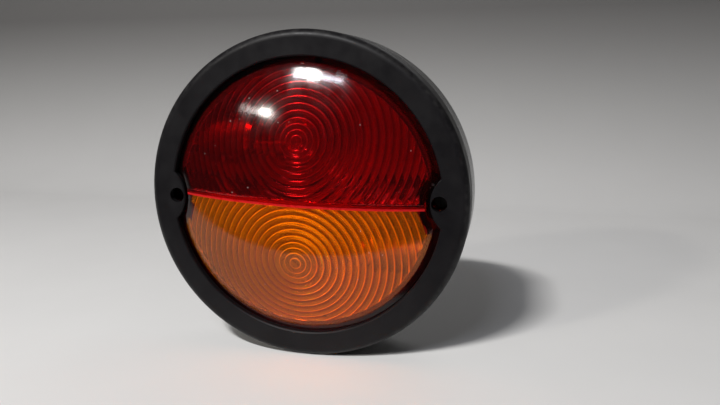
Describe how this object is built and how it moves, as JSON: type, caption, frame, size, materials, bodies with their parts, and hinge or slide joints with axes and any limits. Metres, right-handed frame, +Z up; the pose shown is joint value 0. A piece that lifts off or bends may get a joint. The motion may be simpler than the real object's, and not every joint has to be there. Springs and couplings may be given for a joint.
{
  "type": "round trailer tail light",
  "caption": "Round two-colour rear lamp for a trailer: red stop and tail lens over amber indicator lens, black bezel and drum housing, bayonet bulbs inside.",
  "frame": {"origin": "centre of the rear rubber pad's mounting face", "axes": "-Y out of the lamp's front, +Z up with the red lens above, +X to the right seen from the front"},
  "size_m": [0.14, 0.0459, 0.14],
  "materials": {
    "black_plastic": "smooth moulded black plastic",
    "satin_black_plastic": "satin moulded black plastic with fine grain",
    "red_plastic": "clear red lens plastic, polished outside",
    "amber_plastic": "clear amber lens plastic, polished outside",
    "rubber": "soft black rubber",
    "zinc_steel": "zinc plated steel",
    "dark_steel": "blackened steel",
    "spring_steel": "drawn spring wire",
    "bright_metal": "bright pressed sheet",
    "aluminium": "peened aluminium",
    "brass": "rolled brass strip",
    "nickel_brass": "nickel plated brass cap",
    "white_plastic": "moulded off-white plastic",
    "brown_fibre": "pressed brown fibre board",
    "bulb_glass": "clear blown glass",
    "black_glass": "black bulb cement and glass",
    "solder": "solder dot",
    "tungsten": "coiled tungsten wire"
  },
  "bodies": {
    "housing_body": {"housing": "black_plastic", "rear_pad": "rubber", "mount_sleeves": "zinc_steel", "cable_grommet": "rubber", "lens_seal": "rubber", "upper_reflector": "bright_metal", "lower_reflector": "bright_metal", "light_divider": "white_plastic", "terminal_block": "white_plastic", "tail_feed_strip": "brass", "stop_feed_strip": "brass", "indicator_feed_strip": "brass", "earth_link": "brass", "socket_rivets": "aluminium", "stop_tail_socket": "zinc_steel", "indicator_socket": "zinc_steel", "stop_tail_socket_disc": "brown_fibre", "indicator_socket_disc": "brown_fibre", "stop_tail_spring": "spring_steel", "indicator_spring": "spring_steel"},
    "lens_unit": {"bezel_ring": "satin_black_plastic", "red_lens": "red_plastic", "amber_lens": "amber_plastic"},
    "left_washer": {"left_screw_washer": "rubber"},
    "left_screw": {"left_lens_screw": "dark_steel"},
    "right_washer": {"right_screw_washer": "rubber"},
    "right_screw": {"right_lens_screw": "dark_steel"},
    "stop_tail_slider": {"stop_tail_plunger": "brown_fibre", "stop_tail_plunger_contacts": "brass"},
    "stop_tail_bulb": {"stop_tail_bulb_glass": "bulb_glass", "stop_tail_bulb_cap": "nickel_brass", "stop_tail_bulb_base": "black_glass", "stop_tail_bulb_contacts": "solder", "stop_tail_bulb_filaments": "tungsten"},
    "indicator_slider": {"indicator_plunger": "brown_fibre", "indicator_plunger_contacts": "brass"},
    "indicator_bulb": {"indicator_bulb_glass": "bulb_glass", "indicator_bulb_cap": "nickel_brass", "indicator_bulb_base": "black_glass", "indicator_bulb_contacts": "solder", "indicator_bulb_filaments": "tungsten"}
  },
  "joints": [
    {"name": "lens_lift", "type": "slide", "parent": "housing_body", "child": "lens_unit", "axis": [0, -1, 0], "range_m": [0, 0.045]},
    {"name": "left_screw_back_out", "type": "slide", "parent": "lens_unit", "child": "left_washer", "axis": [0, -1, 0], "range_m": [0, 0.01105]},
    {"name": "left_screw_turn", "type": "hinge", "parent": "left_washer", "child": "left_screw", "pos_m": [-0.0577, -0.0242, 0], "axis": [0, -1, 0], "range_deg": [0, 3061]},
    {"name": "right_screw_back_out", "type": "slide", "parent": "lens_unit", "child": "right_washer", "axis": [0, -1, 0], "range_m": [0, 0.01105]},
    {"name": "right_screw_turn", "type": "hinge", "parent": "right_washer", "child": "right_screw", "pos_m": [0.0577, -0.0242, 0], "axis": [0, -1, 0], "range_deg": [0, 3061]},
    {"name": "stop_tail_bulb_push", "type": "slide", "parent": "housing_body", "child": "stop_tail_slider", "axis": [-1, 0, 0], "range_m": [0, 0.002], "stiffness_N_per_m": 1500, "springref_m": -0.003, "deforming": ["stop_tail_spring"]},
    {"name": "stop_tail_bulb_turn", "type": "hinge", "parent": "stop_tail_slider", "child": "stop_tail_bulb", "pos_m": [0, -0.019, 0.0254], "axis": [1, 0, 0], "range_deg": [0, 20]},
    {"name": "indicator_bulb_push", "type": "slide", "parent": "housing_body", "child": "indicator_slider", "axis": [1, 0, 0], "range_m": [0, 0.002], "stiffness_N_per_m": 1500, "springref_m": -0.003, "deforming": ["indicator_spring"]},
    {"name": "indicator_bulb_turn", "type": "hinge", "parent": "indicator_slider", "child": "indicator_bulb", "pos_m": [0, -0.019, -0.0254], "axis": [-1, 0, 0], "range_deg": [0, 20]}
  ],
  "couplings": [
    {"joint": "left_screw_turn", "follows": "left_screw_back_out", "rad_per_m": 4833.2},
    {"joint": "right_screw_turn", "follows": "right_screw_back_out", "rad_per_m": 4833.2}
  ]
}
